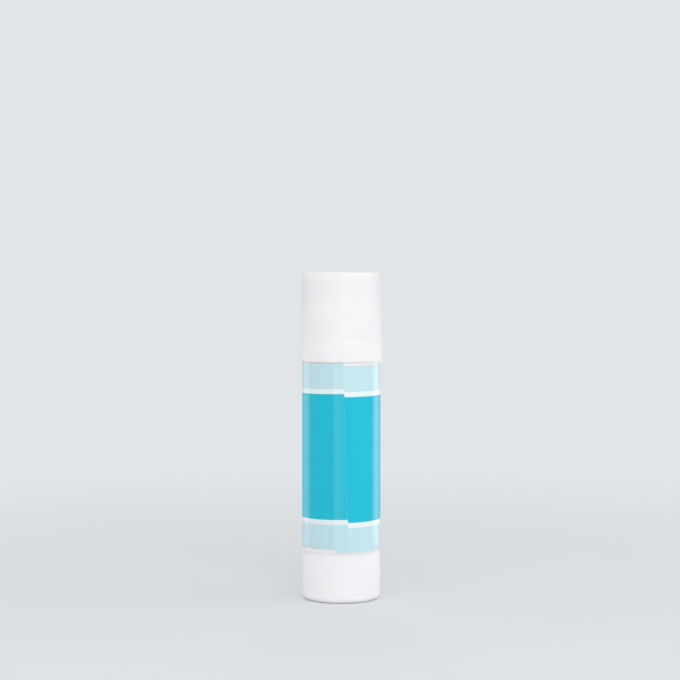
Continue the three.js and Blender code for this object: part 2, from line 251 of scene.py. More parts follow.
def mathOf(tree, operation, first, second, third=0.0):
    inputs = {0: first, 1: second, 2: third}
    return addNode(tree, "Math", inputs, operation=operation).outputs[0]


# A value carried over to another range. Noise lies mostly between 0.3 and 0.7.
def ranged(tree, value, low, high, fromLow=0.3, fromHigh=0.7):
    inputs = {"Value": value, "From Min": fromLow, "From Max": fromHigh, "To Min": low, "To Max": high}
    return addNode(tree, "MapRange", inputs).outputs["Result"]


# Two colours mixed. 6 and 7 are the Mix node's colour inputs, and 2 is its colour output.
def mixedColour(tree, share, first, second, blend="MIX"):
    inputs = {0: share, 6: first, 7: second}
    return addNode(tree, "Mix", inputs, data_type="RGBA", blend_type=blend).outputs[2]


# Base colour in soft patches between a finish's colour and its shade
def cloudColour(tree, shader, finish, cloudy):
    colour = mixedColour(tree, ranged(tree, cloudy, 0, 1), finish["colour"], finish["shade"])
    tree.links.new(colour, shader.inputs["Base Color"])


# Bumps laid one over the other: each is (height from 0 to 1, its depth in millimetres)
def bumped(tree, shader, layers):
    normal = None
    for height, depth in layers:
        inputs = {"Height": height, "Distance": depth * mm, "Strength": 1.0}
        if normal is not None:
            inputs["Normal"] = normal
        normal = addNode(tree, "Bump", inputs).outputs["Normal"]
    tree.links.new(normal, shader.inputs["Normal"])


whiteFinish = {
    "colour": (0.875, 0.86, 0.88, 1),
    "shade": (0.855, 0.84, 0.862, 1),
    "cloudWidth": 6.0,
    "roughness": (0.36, 0.46),
    "satinGrain": 0.16,  # size of the moulded satin's grain
    "satinDepth": 0.003,
    "drawWidth": 1.8,  # width of the faint upright waves left by moulding
    "drawStretch": (1, 1, 0.05),
    "drawDepth": 0.014,
    "scuffWidth": 0.5,
    "scuffStretch": (1, 1, 6),
    "scuffLevels": (0.58, 0.7),  # noise levels between which a rubbed patch comes up
    "scuffRise": 0.12,
    "skin": {
        "IOR": 1.49,
        "Subsurface Weight": 0.25,  # how much light goes through the skin, and how far
        "Subsurface Radius": (1.0, 0.95, 0.9),
        "Subsurface Scale": 2.2 * mm,
    },
}


# Satin white moulding: fine grain, faint upright waves, rubbed patches, and light that sinks in
def makeWhitePlastic(finish):
    material, tree, shader = newMaterial("satinWhitePlastic", finish["skin"])
    cloudy = noiseOf(tree, ownPlace(tree), finish["cloudWidth"], detail=3.0)
    grain = noiseOf(tree, ownPlace(tree), finish["satinGrain"], detail=1.0)
    waves = noiseOf(tree, ownPlace(tree, finish["drawStretch"]), finish["drawWidth"])
    scuffs = noiseOf(tree, ownPlace(tree, finish["scuffStretch"]), finish["scuffWidth"], detail=4.0)
    cloudColour(tree, shader, finish, cloudy)
    rubbed = ranged(tree, scuffs, 0, 1, *finish["scuffLevels"])
    base = ranged(tree, cloudy, *finish["roughness"])
    rough = mathOf(tree, "MULTIPLY_ADD", rubbed, finish["scuffRise"], base)
    tree.links.new(rough, shader.inputs["Roughness"])
    bumped(tree, shader, [(waves, finish["drawDepth"]), (grain, finish["satinDepth"])])
    return material


innerFinish = {
    "colour": (0.80, 0.795, 0.80, 1),
    "shade": (0.74, 0.735, 0.745, 1),
    "cloudWidth": 3.0,
    "roughness": (0.42, 0.56),
    "grain": 0.2,
    "grainDepth": 0.002,
    "flowWidth": 1.2,
    "flowStretch": (1, 1, 0.15),
    "flowDepth": 0.01,
    "skin": {
        "IOR": 1.49,
        "Subsurface Weight": 0.2,
        "Subsurface Radius": (1.0, 0.95, 0.9),
        "Subsurface Scale": 2.0 * mm,
    },
}


# Plain natural moulding of the inner pieces: flow marks and a dull grain
def makeInnerPlastic(finish):
    material, tree, shader = newMaterial("innerNaturalPlastic", finish["skin"])
    cloudy = noiseOf(tree, ownPlace(tree), finish["cloudWidth"], detail=3.0)
    grain = noiseOf(tree, ownPlace(tree), finish["grain"], detail=1.0)
    flow = noiseOf(tree, ownPlace(tree, finish["flowStretch"]), finish["flowWidth"])
    cloudColour(tree, shader, finish, cloudy)
    tree.links.new(ranged(tree, cloudy, *finish["roughness"]), shader.inputs["Roughness"])
    bumped(tree, shader, [(flow, finish["flowDepth"]), (grain, finish["grainDepth"])])
    return material


filmFinish = {
    "pale": (0.52, 0.73, 0.785, 1),
    "line": (0.775, 0.845, 0.875, 1),
    "teal": (0.002, 0.492, 0.642, 1),
    "bands": (6.45, 1.28, 32.62, 1.28),  # pale, line, teal and line, from the film's lower edge
    "edgeBlur": 0.03,  # how soft the printed edges are
    "paintedShade": (1.037, 0.963),  # painted shade: the print made lighter near the film's start and darker towards its end, which lies on the stick's left seen from the front
    "cloudWidth": 2.5,
    "roughness": (0.2, 0.28),
    "waveWidth": 2.6,  # faint upright waves in the stretched film
    "waveStretch": (1, 1, 0.04),
    "waveDepth": 0.012,
    "peel": 0.5,  # size of the film's orange peel
    "peelDepth": 0.0006,
    "streakWidth": 1.3,  # faint upright streaks in the print
    "streakStretch": (1, 1, 0.03),
    "streakStrength": (0.988, 1.012),
    # colour of the painted highlights on the lap and along the cut end
    "paintedHighlightColour": (1, 1, 1, 1),
    "lapPaintedHighlight": (0.041, 0.01),  # painted highlight on the lap, white added from where it crosses its start to its own end
    "lapBlur": 0.8,  # width over which the lap's painted highlight comes up, where the film rises on to its start
    "endWidth": 0.3,  # width of the painted highlight along its cut end
    "endPaintedHighlight": 0.035,
    "skin": {
        "IOR": 1.5,
        "Specular IOR Level": 0.0,
        "Coat Weight": 1.0,
        "Coat Roughness": 0.09,
        "Coat IOR": 1.4,
    },
}


# Printed film: bands across its height, read from its own unrolled coordinates, under a glossy skin. White
# is added as a painted highlight on the lap and along the cut end, and the print is darkened towards the
# film's end as painted shade.
# The coordinates are the turns since its start and the share of its height.
def makeFilm(finish, film):
    material, tree, shader = newMaterial("printedLabelFilm", finish["skin"])
    place = addNode(tree, "UVMap", uv_map="film").outputs["UV"]
    placeAxes = addNode(tree, "SeparateXYZ", {"Vector": place}).outputs
    turned, up = placeAxes["X"], placeAxes["Y"]
    levels = np.cumsum(finish["bands"]) / film["height"]
    blur = finish["edgeBlur"] / film["height"]
    colour = finish["pale"]
    for level, above in zip(levels, ("line", "teal", "line", "pale")):
        edge = ranged(tree, up, 0, 1, level - blur, level + blur)
        colour = mixedColour(tree, edge, colour, finish[above])
    around = 2 * math.pi * film["radius"]
    # Painted highlight: white added over the lap, fading from where it crosses its start to its end, and a
    # thin line of it along the cut end
    lapped = ranged(tree, turned, 0, 1, 1 - finish["lapBlur"] / around, 1)
    lapPaintedHighlight = ranged(tree, turned, *finish["lapPaintedHighlight"], 1, film["turns"])
    end = film["turns"] + film["endLean"] / 2
    start = end - finish["endWidth"] / around
    squared = mathOf(tree, "MULTIPLY_ADD", up, film["endLean"], turned)  # turns, as if cut off square
    gleam = ranged(tree, squared, 0, finish["endPaintedHighlight"], start, (start + end) / 2)
    paintedHighlight = mathOf(tree, "MULTIPLY_ADD", lapped, lapPaintedHighlight, gleam)
    colour = mixedColour(tree, paintedHighlight, colour, finish["paintedHighlightColour"], "ADD")
    streaks = noiseOf(tree, ownPlace(tree, finish["streakStretch"]), finish["streakWidth"])
    # Painted shade: the print's value falls from the film's start to its end, which darkens the stick's
    # left side seen from the front. The faint upright streaks are ink.
    paintedShade = ranged(tree, turned, *finish["paintedShade"], 0, 1)
    inkStreaksAndPaintedShade = mathOf(tree, "MULTIPLY", ranged(tree, streaks, *finish["streakStrength"]), paintedShade)
    printWithPaintedLight = addNode(tree, "HueSaturation", {"Value": inkStreaksAndPaintedShade, "Color": colour}).outputs["Color"]
    tree.links.new(printWithPaintedLight, shader.inputs["Base Color"])
    cloudy = noiseOf(tree, ownPlace(tree), finish["cloudWidth"], detail=3.0)
    tree.links.new(ranged(tree, cloudy, *finish["roughness"]), shader.inputs["Roughness"])
    waves = noiseOf(tree, ownPlace(tree, finish["waveStretch"]), finish["waveWidth"], detail=1.0)
    peel = noiseOf(tree, ownPlace(tree), finish["peel"])
    bumped(tree, shader, [(waves, finish["waveDepth"]), (peel, finish["peelDepth"])])
    return material


glueFinish = {
    "colour": (0.88, 0.87, 0.83, 1),
    "shade": (0.83, 0.81, 0.75, 1),
    "cloudWidth": 4.0,
    "roughness": (0.34, 0.6),
    "smear": 1.4,
    "smearStretch": (1, 1, 0.3),
    "smearDepth": 0.03,
    "grain": 0.25,
    "grainDepth": 0.006,
    "skin": {
        "IOR": 1.45,
        "Subsurface Weight": 0.6,
        "Subsurface Radius": (1.0, 0.92, 0.8),
        "Subsurface Scale": 3.0 * mm,
    },
}


# Glue: waxy, a little see-through, with smears along the way it slides
def makeGlueWax(finish):
    material, tree, shader = newMaterial("glueWax", finish["skin"])
    cloudy = noiseOf(tree, ownPlace(tree), finish["cloudWidth"], detail=3.0)
    smears = noiseOf(tree, ownPlace(tree, finish["smearStretch"]), finish["smear"], detail=3.0)
    grain = noiseOf(tree, ownPlace(tree), finish["grain"])
    cloudColour(tree, shader, finish, cloudy)
    tree.links.new(ranged(tree, smears, *finish["roughness"]), shader.inputs["Roughness"])
    bumped(tree, shader, [(smears, finish["smearDepth"]), (grain, finish["grainDepth"])])
    return material


whitePlastic = makeWhitePlastic(whiteFinish)
innerPlastic = makeInnerPlastic(innerFinish)
glueWax = makeGlueWax(glueFinish)
print("plastics and glue finished")


# Cap

capShape = {
    "bore": 9.7,
    "body": 10.65,
    "upper": 10.45,
    "crown": 10.14,
    "rimHeight": 5.6,
    "rimSlope": 1.6,
    "flareTop": 5.5,  # the flare's ends, down from the cap's top
    "flareBottom": 10.3,
    "crownHeight": 2.4,
    "topThickness": 1.4,
    "crownRounding": 3.0,
    "topRounding": 0.5,
    "ceilingRounding": 0.4,
    "edgeRounding": 0.14,
    "rimRounding": 0.1,
    "straight": 1.0,  # upright stretch where a rounded outline meets an eased one
    "gateRadius": 0.9,  # small dimple at the top's centre, where the plastic went in
    "gateDepth": 0.12,
    "gateSlope": 0.15,  # half the width of the dimple's slope
    "gateRounding": 0.15,
    "sides": 192,
    "step": 2.0,  # longest stretch between two rows
}


# Cap: outline from the ceiling's centre out, down the bore, round the rim, up the outside and in
def makeCap(shape):
    low, high = boxOf("cap")
    bottom, top, rim = low[2], high[2], high[0]
    ceiling = top - shape["topThickness"]
    rimTop = bottom + shape["rimHeight"]
    crownFoot = top - shape["crownHeight"]
    gateFloor = top - shape["gateDepth"]
    lower = roundedOutline([
        (0, ceiling),
        (shape["bore"], ceiling, shape["ceilingRounding"]),
        (shape["bore"], bottom, shape["edgeRounding"]),
        (rim, bottom, shape["rimRounding"]),
        (rim, bottom + shape["straight"]),
    ])
    ease = easedStretch(rim, shape["body"], rimTop - shape["rimSlope"], rimTop)
    flare = easedStretch(shape["body"], shape["upper"], top - shape["flareBottom"], top - shape["flareTop"])
    upper = roundedOutline([
        (shape["upper"], crownFoot - shape["straight"]),
        (shape["upper"], crownFoot, shape["crownRounding"]),
        (shape["crown"], top, shape["topRounding"]),
        (shape["gateRadius"] + shape["gateSlope"], top, shape["gateRounding"]),
        (shape["gateRadius"] - shape["gateSlope"], gateFloor, shape["gateRounding"]),
        (0, gateFloor),
    ])
    outline = refined(np.vstack([lower, ease, flare, upper]), shape["step"])
    angles = roundAngles(shape["sides"])
    return [turnedPart(*outlineTables(outline, angles), angles)]


addPiece("cap_shell", "cap", "cap", whitePlastic, makeCap(capShape))


# Barrel

# The barrel's ribs, and the notches in the carrier and the glue that they run in
ribCount = 4
ribCentres = np.arange(ribCount) / ribCount * 2 * math.pi


# Angles round the axis, and 1 for each that is in a rib or a notch. Widths are taken at a radius.
def ribbedAngles(count, half, rampWidth, radius):
    ramp = rampWidth / radius
    inside = half / radius - ramp
    angles = roundAngles(count, ribCentres, inside, ramp)
    return angles, windows(angles, ribCentres, inside, ramp)


barrelShape = {
    "socket": 9.15,
    "groove": 9.4,
    "grooveLevel": 1.3,  # above the barrel's lower end
    "grooveHalf": 0.55,
    "neck": 9.5,
    "neckLength": 12.8,
    "neckBead": 0.12,
    "neckBeadLevel": 3.0,
    "neckBeadHalf": 0.5,
    "bore": 8.55,
    "bulkheadHole": 3.27,
    "bulkheadLow": 3.8,
    "bulkheadHigh": 5.0,
    "ribInner": 7.85,
    "ribHalf": 0.6,
    "ribRamp": 0.12,  # width of a rib's flank
    "ribStop": 1.6,
    "ribStopHalf": 0.08,  # half the height over which a rib's top runs out
    "edgeRounding": 0.12,
    "outerRounding": 0.03,
    "shoulderRounding": 0.2,
    "beadRounding": 0.8,
    "mouthRounding": 0.35,
    "mouthInnerRounding": 0.3,
    "innerRounding": 0.2,
    "holeRounding": 0.1,
    "shoulderLift": 0.085,  # how far its shoulder closes the gap to the cap
    "sides": 192,
    "step": 2.5,
}


# Barrel: a closed outline, with its bore drawn in to the ribs' inner face where a rib stands
def makeBarrel(shape):
    low, high = boxOf("barrel")
    bottom, mouth, outer = low[2], high[2], high[0]
    shoulder = mouth - shape["neckLength"]
    ledge = shoulder + shape["shoulderLift"]
    bead = shoulder + shape["neckBeadLevel"]
    groove = bottom + shape["grooveLevel"]
    floor = bottom + shape["bulkheadHigh"]
    ceiling = bottom + shape["bulkheadLow"]
    ribTop = mouth - shape["ribStop"]
    inner = shape["innerRounding"]
    outline = roundedOutline([
        (shape["socket"], bottom, shape["edgeRounding"]),
        (outer, bottom, shape["outerRounding"]),
        (outer, ledge, shape["outerRounding"]),
        (shape["neck"], ledge, shape["shoulderRounding"]),
        (shape["neck"], bead - shape["neckBeadHalf"], shape["beadRounding"]),
        (shape["neck"] + shape["neckBead"], bead, shape["beadRounding"]),
        (shape["neck"], bead + shape["neckBeadHalf"], shape["beadRounding"]),
        (shape["neck"], mouth, shape["mouthRounding"]),
        (shape["bore"], mouth, shape["mouthInnerRounding"]),
        (shape["bore"], ribTop + shape["ribStopHalf"]),
        (shape["bore"], ribTop - shape["ribStopHalf"]),
        (shape["bore"], floor, inner),
        (shape["bulkheadHole"], floor, shape["holeRounding"]),
        (shape["bulkheadHole"], ceiling, shape["holeRounding"]),
        (shape["socket"], ceiling, inner),
        (shape["socket"], groove + shape["grooveHalf"], inner),
        (shape["groove"], groove, inner),
        (shape["socket"], groove - shape["grooveHalf"], inner),
    ], closed=True)
    outline = refined(outline, shape["step"], closed=True)
    angles, rib = ribbedAngles(shape["sides"], shape["ribHalf"], shape["ribRamp"], shape["bore"])
    radius, height = outlineTables(outline, angles)
    slack = 0.01
    inBore = (outline[:, 0] <= shape["bore"] + slack) & (outline[:, 1] > floor - slack)
    inBore &= outline[:, 1] < ribTop
    radius = drawnIn(radius, shape["ribInner"], rib[None] * inBore[:, None])
    return [turnedPart(radius, height, angles, closed=True)]


addPiece("barrel_tube", "barrel", "barrel", whitePlastic, makeBarrel(barrelShape))


# Label

labelShape = {
    "thickness": 0.08,
    "glueLine": 0.02,
    "lapGap": 0.004,
    "startAngle": -8.0,  # degrees from the front towards +X
    "endAngle": 6.6,  # past the full turn, at half height
    "rise": 0.83,  # climb in one turn
    "endSlant": 0.82,  # degrees that the end is cut off square
    "stepUp": 12.0,  # degrees over which the end lifts on to the start
    "stepMargin": 1.0,  # degrees before the start where it has lifted
    "stations": 480,
    "rows": 60,
}


# What the film's shape and its print share: the radius that it is wound on, its turns, its own
# height without its climb, and how many turns further round its slanted end lies at the foot
def measureFilm(shape):
    low, high = boxOf("label")
    radius = boxOf("barrel")[1][0] + shape["glueLine"]
    turns = 1 + (shape["endAngle"] - shape["startAngle"]) / 360
    height = high[2] - low[2] - shape["rise"] * turns
    around = 2 * math.pi * radius
    endLean = (shape["rise"] / around + math.tan(math.radians(shape["endSlant"]))) * height / around
    return {"radius": radius, "turns": turns, "height": height, "endLean": endLean}


# Label: the film as a strip. Along it the angle and the height grow evenly, and near its end the
# radius steps up by one film and the lap gap. Across it the height grows from edge to edge.
def makeLabel(shape, film):
    inner, height = film["radius"], film["height"]
    bottom = boxOf("label")[0][2]
    start = math.radians(shape["startAngle"])
    end = 2 * math.pi + math.radians(shape["endAngle"])
    stepEnd = 2 * math.pi + start - math.radians(shape["stepMargin"])
    stepStart = stepEnd - math.radians(shape["stepUp"])
    along, across = np.meshgrid(
        np.linspace(0, 1, shape["stations"] + 1),
        np.linspace(0, 1, shape["rows"] + 1),
        indexing="ij",
    )
    last = end + (0.5 - across) * film["endLean"] * 2 * math.pi
    angle = start + (last - start) * along
    turned = (angle - start) / (2 * math.pi)
    rise = turned * shape["rise"]
    share = np.clip((angle - stepStart) / (stepEnd - stepStart), 0, 1)
    lap = (shape["thickness"] + shape["lapGap"]) * smoothed(share)
    points = []
    for radius in (inner + lap, inner + lap + shape["thickness"]):
        x = radius * np.sin(angle)
        y = -radius * np.cos(angle)
        points.append(np.stack([x, y, bottom + across * height + rise], axis=2).reshape(-1, 3))
    under = np.arange(along.size).reshape(along.shape)
    over = under + along.size

    quads = np.vstack([
        facesOf(over[:-1, :-1], over[1:, :-1], over[1:, 1:], over[:-1, 1:]),
        facesOf(under[:-1, :-1], under[:-1, 1:], under[1:, 1:], under[1:, :-1]),
        facesOf(under[:-1, 0], under[1:, 0], over[1:, 0], over[:-1, 0]),
        facesOf(over[:-1, -1], over[1:, -1], under[1:, -1], under[:-1, -1]),
        facesOf(under[0, :-1], over[0, :-1], over[0, 1:], under[0, 1:]),
        facesOf(over[-1, :-1], under[-1, :-1], under[-1, 1:], over[-1, 1:]),
    ])
    places = np.stack([turned.ravel(), across.ravel()], axis=1)
    return [(np.vstack(points), quads, noTriangles)], np.vstack([places, places])


film = measureFilm(labelShape)
labelFilm = makeFilm(filmFinish, film)
labelParts, filmPlaces = makeLabel(labelShape, film)
addPiece("label_wrap", "label", "barrel", labelFilm, labelParts, filmPlaces)


# Knob

knobShape = {
    "footRounding": 1.5,
    "footInnerRounding": 0.15,
    "footWidth": 1.25,
    "recessDepth": 0.6,
    "recessRounding": 0.4,
    "floorThickness": 1.4,
    "sideHeight": 12.9,
    "sideLift": 0.085,  # how far its outer edge closes the gap to the barrel
    "edgeRounding": 0.03,
    "ledgeRounding": 0.1,
    "spigot": 8.95,
    "spigotRounding": 0.25,
    "bead": 9.25,
    "beadLevel": 1.4,  # above the side's top edge
    "beadHalf": 0.4,
    "beadRounding": 0.15,
    "cavity": 8.0,
    "cavityRounding": 0.5,
    "hub": 3.9,
    "hubDrop": 0.9,
    "hubFace": 0.5,  # width of the hub's top that is round, outside its square socket
    "hubFootRounding": 0.4,
    "innerRounding": 0.2,
    "socketHalf": 2.25,
    "socketLift": 1.4,
    "socketChamfer": 0.2,
    "webCount": 4,
    "webThickness": 1.0,
    "webHeight": 7.0,
    "webSink": 0.5,  # how deep a web stands in the floor
    "webReach": 0.3,  # how far it goes into the hub and the wall
    "webFootRounding": 0.1,
    "webTopRounding": 0.2,
    "gateRadius": 1.1,
    "gateDepth": 0.15,
    "gateSlope": 0.2,
    "gateRounding": 0.15,
    "sides": 192,
    "step": 2.0,
}


# Knob: outline from the recess's centre out, up the side and the spigot, down its inside, over
# the hub and down its square socket. Webs are blocks carried from the hub to the spigot's wall.
def makeKnob(shape):
    low, high = boxOf("knob")
    bottom, spigotTop, outer = low[2], high[2], high[0]
    side = bottom + shape["sideHeight"]
    ledge = side + shape["sideLift"]
    recess = bottom + shape["recessDepth"]
    floor = recess + shape["floorThickness"]
    recessOuter = outer - shape["footRounding"] - shape["footWidth"]
    bead = side + shape["beadLevel"]
    hubTop = side - shape["hubDrop"]
    socketFloor = floor + shape["socketLift"]
    inner = shape["innerRounding"]
    shell = roundedOutline([
        (0, recess + shape["gateDepth"]),
        (shape["gateRadius"] - shape["gateSlope"], recess + shape["gateDepth"], shape["gateRounding"]),
        (shape["gateRadius"] + shape["gateSlope"], recess, shape["gateRounding"]),
        (recessOuter - shape["recessDepth"], recess, shape["recessRounding"]),
        (recessOuter, bottom, shape["footInnerRounding"]),
        (outer, bottom, shape["footRounding"]),
        (outer, ledge, shape["edgeRounding"]),
        (shape["spigot"], ledge, shape["ledgeRounding"]),
        (shape["spigot"], bead - shape["beadHalf"], inner),
        (shape["bead"], bead, shape["beadRounding"]),
        (shape["spigot"], bead + shape["beadHalf"], inner),
        (shape["spigot"], spigotTop, shape["spigotRounding"]),
        (shape["cavity"], spigotTop, inner),
        (shape["cavity"], floor, shape["cavityRounding"]),
        (shape["hub"], floor, shape["hubFootRounding"]),
        (shape["hub"], hubTop, inner),
        (shape["hub"] - shape["hubFace"], hubTop),
    ], steps=8)
    socket = refined(roundedOutline([
        (shape["socketHalf"] + shape["socketChamfer"], hubTop),
        (shape["socketHalf"], hubTop - shape["socketChamfer"]),
        (shape["socketHalf"], socketFloor, inner),
        (0, socketFloor),
    ]), shape["step"])
    outline = refined(np.vstack([shell, socket]), shape["step"])
    angles = roundAngles(shape["sides"])
    radius, height = outlineTables(outline, angles)
    inSocket = np.arange(len(outline)) >= len(outline) - len(socket)
    parts = [turnedPart(squaredRows(radius, angles, inSocket), height, angles)]
    half = shape["webThickness"] / 2
    webFoot = floor - shape["webSink"]
    webTop = floor + shape["webHeight"]
    section = roundedOutline([
        (-half, webFoot, shape["webFootRounding"]),
        (half, webFoot, shape["webFootRounding"]),
        (half, webTop, shape["webTopRounding"]),
        (-half, webTop, shape["webTopRounding"]),
    ], closed=True, steps=3)
    across, level = section[None, :, 0], np.repeat(section[None, :, 1], 2, axis=0)
    reach = np.array([[shape["hub"] - shape["webReach"]], [shape["cavity"] + shape["webReach"]]])
    for turn in (np.arange(shape["webCount"]) + 0.5) / shape["webCount"] * 2 * math.pi:
        x = reach * math.cos(turn) - across * math.sin(turn)
        y = reach * math.sin(turn) + across * math.cos(turn)
        parts.append(carriedPart(np.stack([x, y, level], axis=2)))
    return parts


addPiece("base_knob", "knob", "knob", whitePlastic, makeKnob(knobShape))


# Spindle and carrier share the thread

threadShape = {
    "lead": 4.0,
    "hand": -1,  # left-hand
    "core": 2.3,
    "crest": 3.1,
    "rootHalf": 0.75,
    "crestHalf": 0.4,
    "phase": 0.025,  # turns by which the thread is set round
    "clearance": 0.22,
}

spindleShape = {
    "shankHalf": 2.1,
    "shankRounding": 0.3,
    "shankStop": 0.02,  # height between the shank's last row and the collar
    "cornerReach": 1.45,  # where the collar's underside starts, in the shank's half widths
    "collar": 4.77,
    "collarLow": 14.6,  # above the shank's lower end
    "collarHigh": 15.8,
    "collarRounding": 0.15,
    "coreRounding": 0.3,
    "shoulderRounding": 0.5,
    "tip": 1.4,
    "tipLength": 1.5,
    "tipRounding": 0.3,
    "threadStart": 1.55,  # above the collar
    "threadSink": 0.3,  # how deep the ridge's foot lies in the core
    "ridgeRounding": 0.12,
    "ridgeSteps": 72,  # stations in one turn
    "runOut": 0.2,  # turns over which the ridge grows and fades
    "leastRidge": 0.04,  # share of its height that the ridge has at its ends
    "sides": 96,
    "step": 1.5,
}


# Spindle: a turned core with a square shank, and the thread's section carried up a helix
def makeSpindle(shape, thread):
    low, high = boxOf("spindle")
    bottom, top = low[2], high[2]
    collarLow = bottom + shape["collarLow"]
    collarHigh = bottom + shape["collarHigh"]
    threadTop = top - shape["tipLength"]
    shank = refined(roundedOutline([
        (0, bottom),
        (shape["shankHalf"], bottom, shape["shankRounding"]),
        (shape["shankHalf"], collarLow - shape["shankStop"]),
    ]), shape["step"])
    core = refined(roundedOutline([
        (shape["shankHalf"] * shape["cornerReach"], collarLow),
        (shape["collar"], collarLow, shape["collarRounding"]),
        (shape["collar"], collarHigh, shape["collarRounding"]),
        (thread["core"], collarHigh, shape["coreRounding"]),
        (thread["core"], threadTop, shape["shoulderRounding"]),
        (shape["tip"], top, shape["tipRounding"]),
        (0, top),
    ]), shape["step"])
    angles = roundAngles(shape["sides"])
    radius, height = outlineTables(np.vstack([shank, core]), angles)
    inShank = np.arange(len(radius)) < len(shank)
    parts = [turnedPart(squaredRows(radius, angles, inShank), height, angles)]
    turns = np.arange(
        (collarHigh + shape["threadStart"]) / thread["lead"],
        (threadTop - thread["rootHalf"]) / thread["lead"],
        1 / shape["ridgeSteps"],
    )
    foot = thread["core"] - shape["threadSink"]
    section = roundedOutline([
        (foot, -thread["rootHalf"]),
        (thread["crest"], -thread["crestHalf"], shape["ridgeRounding"]),
        (thread["crest"], thread["crestHalf"], shape["ridgeRounding"]),
        (foot, thread["rootHalf"]),
    ], closed=True, steps=3)
    ends = np.minimum(turns - turns[0], turns[-1] - turns) / shape["runOut"]
    grown = np.clip(ends, shape["leastRidge"], 1)[:, None]
    sectionRadius = foot + (section[None, :, 0] - foot) * grown
    angle = (thread["hand"] * turns + thread["phase"]) * 2 * math.pi
    x = sectionRadius * np.cos(angle)[:, None]
    y = sectionRadius * np.sin(angle)[:, None]
    z = turns[:, None] * thread["lead"] + section[None, :, 1]
    points, quads, triangles = carriedPart(np.stack([x, y, z], axis=2))
    if thread["hand"] > 0:
        quads, triangles = quads[:, ::-1], triangles[:, ::-1]
    parts.append((points, quads, triangles))
    return parts


addPiece("lead_screw", "spindle", "knob", innerPlastic,
         makeSpindle(spindleShape, threadShape))

carrierShape = {
    "floorThickness": 1.2,
    "cup": 7.5,
    "cupInner": 6.7,
    "cupHeight": 7.5,
    "nut": 4.6,
    "notch": 7.6,
    "notchHalf": 0.85,
    "notchRamp": 0.12,  # width of a notch's flank
    "edgeRounding": 0.15,
    "shelfRounding": 0.1,
    "innerRounding": 0.2,
    "sides": 144,
    "step": 1.5,
    "boreSteps": 160,
}


# Carrier: a closed outline, with notches that pass the ribs and the thread sunk into its bore.
# At a place in the bore the groove's depth follows how far that place is from the helix.
def makeCarrier(shape, thread):
    low, high = boxOf("carrier")
    bottom, top, outer = low[2], high[2], high[0]
    floor = bottom + shape["floorThickness"]
    cupTop = bottom + shape["cupHeight"]
    bore = thread["core"] + thread["clearance"]
    edge = shape["edgeRounding"]
    body = refined(roundedOutline([
        (bore, bottom),
        (outer, bottom, edge),
        (outer, floor, edge),
        (shape["cup"], floor, shape["shelfRounding"]),
        (shape["cup"], cupTop, edge),
        (shape["cupInner"], cupTop, edge),
        (shape["cupInner"], floor, shape["innerRounding"]),
        (shape["nut"], floor, shape["innerRounding"]),
        (shape["nut"], top, edge),
        (bore, top),
    ]), shape["step"])
    wall = np.linspace(top, bottom, shape["boreSteps"] + 1)[1:-1]
    outline = np.vstack([body, np.stack([np.full_like(wall, bore), wall], axis=1)])
    angles, notch = ribbedAngles(shape["sides"], shape["notchHalf"], shape["notchRamp"], shape["notch"])
    radius, height = outlineTables(outline, angles)
    radius = drawnIn(radius, shape["notch"], notch[None])
    turns = height / thread["lead"] - thread["hand"] * (angles[None] / (2 * math.pi) - thread["phase"])
    away = np.abs(turns - np.round(turns)) * thread["lead"]
    grooveHalf = thread["rootHalf"] + thread["clearance"]
    flank = thread["rootHalf"] - thread["crestHalf"]
    depth = (thread["crest"] - thread["core"]) * np.clip((grooveHalf - away) / flank, 0, 1)
    onBore = np.isclose(outline[:, 0], bore)
    radius = radius + depth * onBore[:, None]
    return [turnedPart(radius, height, angles, closed=True)]


addPiece("carrier_cup", "carrier", "carriage", innerPlastic,
         makeCarrier(carrierShape, threadShape))


# Glue

glueShape = {
    "foot": 6.55,
    "rimLevel": 6.3,  # above the glue's foot
    "nutPocket": 4.75,
    "nutPocketTop": 6.8,
    "hole": 3.4,
    "topCover": 4.4,  # glue over the end of its hole
    "notch": 7.6,
    "notchHalf": 0.85,
    "notchRamp": 0.15,
    "edgeRounding": 0.5,
    "rimRounding": 0.15,
    "innerRounding": 0.1,
    "holeRounding": 0.3,
    "topDepth": 0.05,  # rows this near its top are on it
    "dish": 0.14,  # how far the poured top sinks at its middle
    "ripple": 0.025,
    "rippleEdge": 0.25,  # share of the way in over which the ripples grow
    "waves": [  # each ripple's pace along x and y, where it starts, and its share
        (0.9, 0.5, 0.7, 1.0),
        (-0.6, 1.3, 2.1, 0.7),
        (2.1, 1.7, 0.0, 0.5),
    ],
    "sides": 168,
    "step": 0.6,
}


